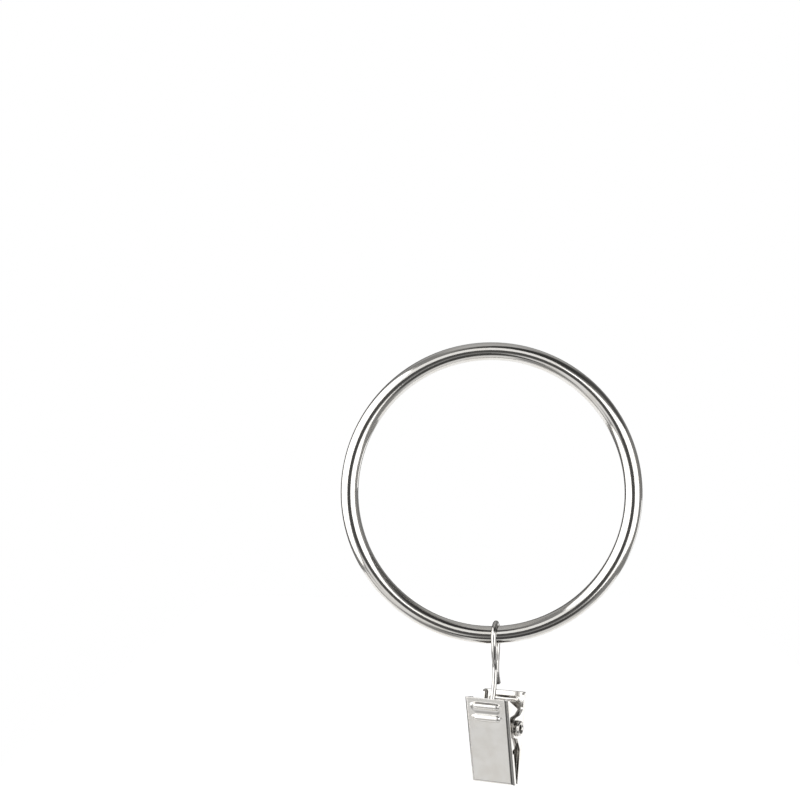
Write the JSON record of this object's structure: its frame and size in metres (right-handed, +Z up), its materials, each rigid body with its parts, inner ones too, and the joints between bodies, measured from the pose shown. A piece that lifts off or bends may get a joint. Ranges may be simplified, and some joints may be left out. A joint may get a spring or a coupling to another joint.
{
  "type": "curtain ring with clip",
  "caption": "Round metal curtain ring carrying a wire hook and a riveted, sprung two-jaw clip with ribbed handles that grips a curtain's top edge.",
  "frame": {"origin": "centre of the ring's opening", "axes": "+Y along the ring's axis, the way a rod passes; +Z up; the clip hangs towards -Z with its front plate towards -Y"},
  "size_m": [0.0576, 0.0124, 0.084],
  "materials": {
    "ring_nickel": "polished nickel plate",
    "wire_nickel": "polished nickel-plated spring wire",
    "jaw_nickel": "bright nickel-plated sheet, slightly satin",
    "rivet_nickel": "bright nickel plate",
    "spring_steel": "bright drawn spring wire"
  },
  "bodies": {
    "ring_body": {"ring": "ring_nickel"},
    "hook_body": {"hook": "wire_nickel"},
    "pivot_body": {"rivet": "rivet_nickel", "spring": "spring_steel"},
    "front_jaw_body": {"front_jaw": "jaw_nickel"},
    "back_jaw_body": {"back_jaw": "jaw_nickel"}
  },
  "joints": [
    {"name": "hook_swing", "type": "hinge", "parent": "ring_body", "child": "hook_body", "pos_m": [0.00088, 0, -0.02709], "axis": [0.9833, -0.1822, 0], "range_deg": [-85, 85]},
    {"name": "clip_swing", "type": "hinge", "parent": "hook_body", "child": "pivot_body", "pos_m": [0.00088, 0, -0.0445], "axis": [0.9033, -0.4289, 0], "range_deg": [-7.5, 7.5]},
    {"name": "front_jaw_open", "type": "hinge", "parent": "pivot_body", "child": "front_jaw_body", "pos_m": [0.00088, 0, -0.0445], "axis": [-0.9033, 0.4289, 0], "range_deg": [0, 11], "stiffness_Nm_per_rad": 0.004, "springref_deg": -5.73, "deforming": ["spring"]},
    {"name": "back_jaw_open", "type": "hinge", "parent": "pivot_body", "child": "back_jaw_body", "pos_m": [0.00088, 0, -0.0445], "axis": [0.9033, -0.4289, 0], "range_deg": [0, 11], "deforming": ["spring"]}
  ],
  "couplings": [
    {"joint": "back_jaw_open", "follows": "front_jaw_open", "ratio": 1}
  ]
}
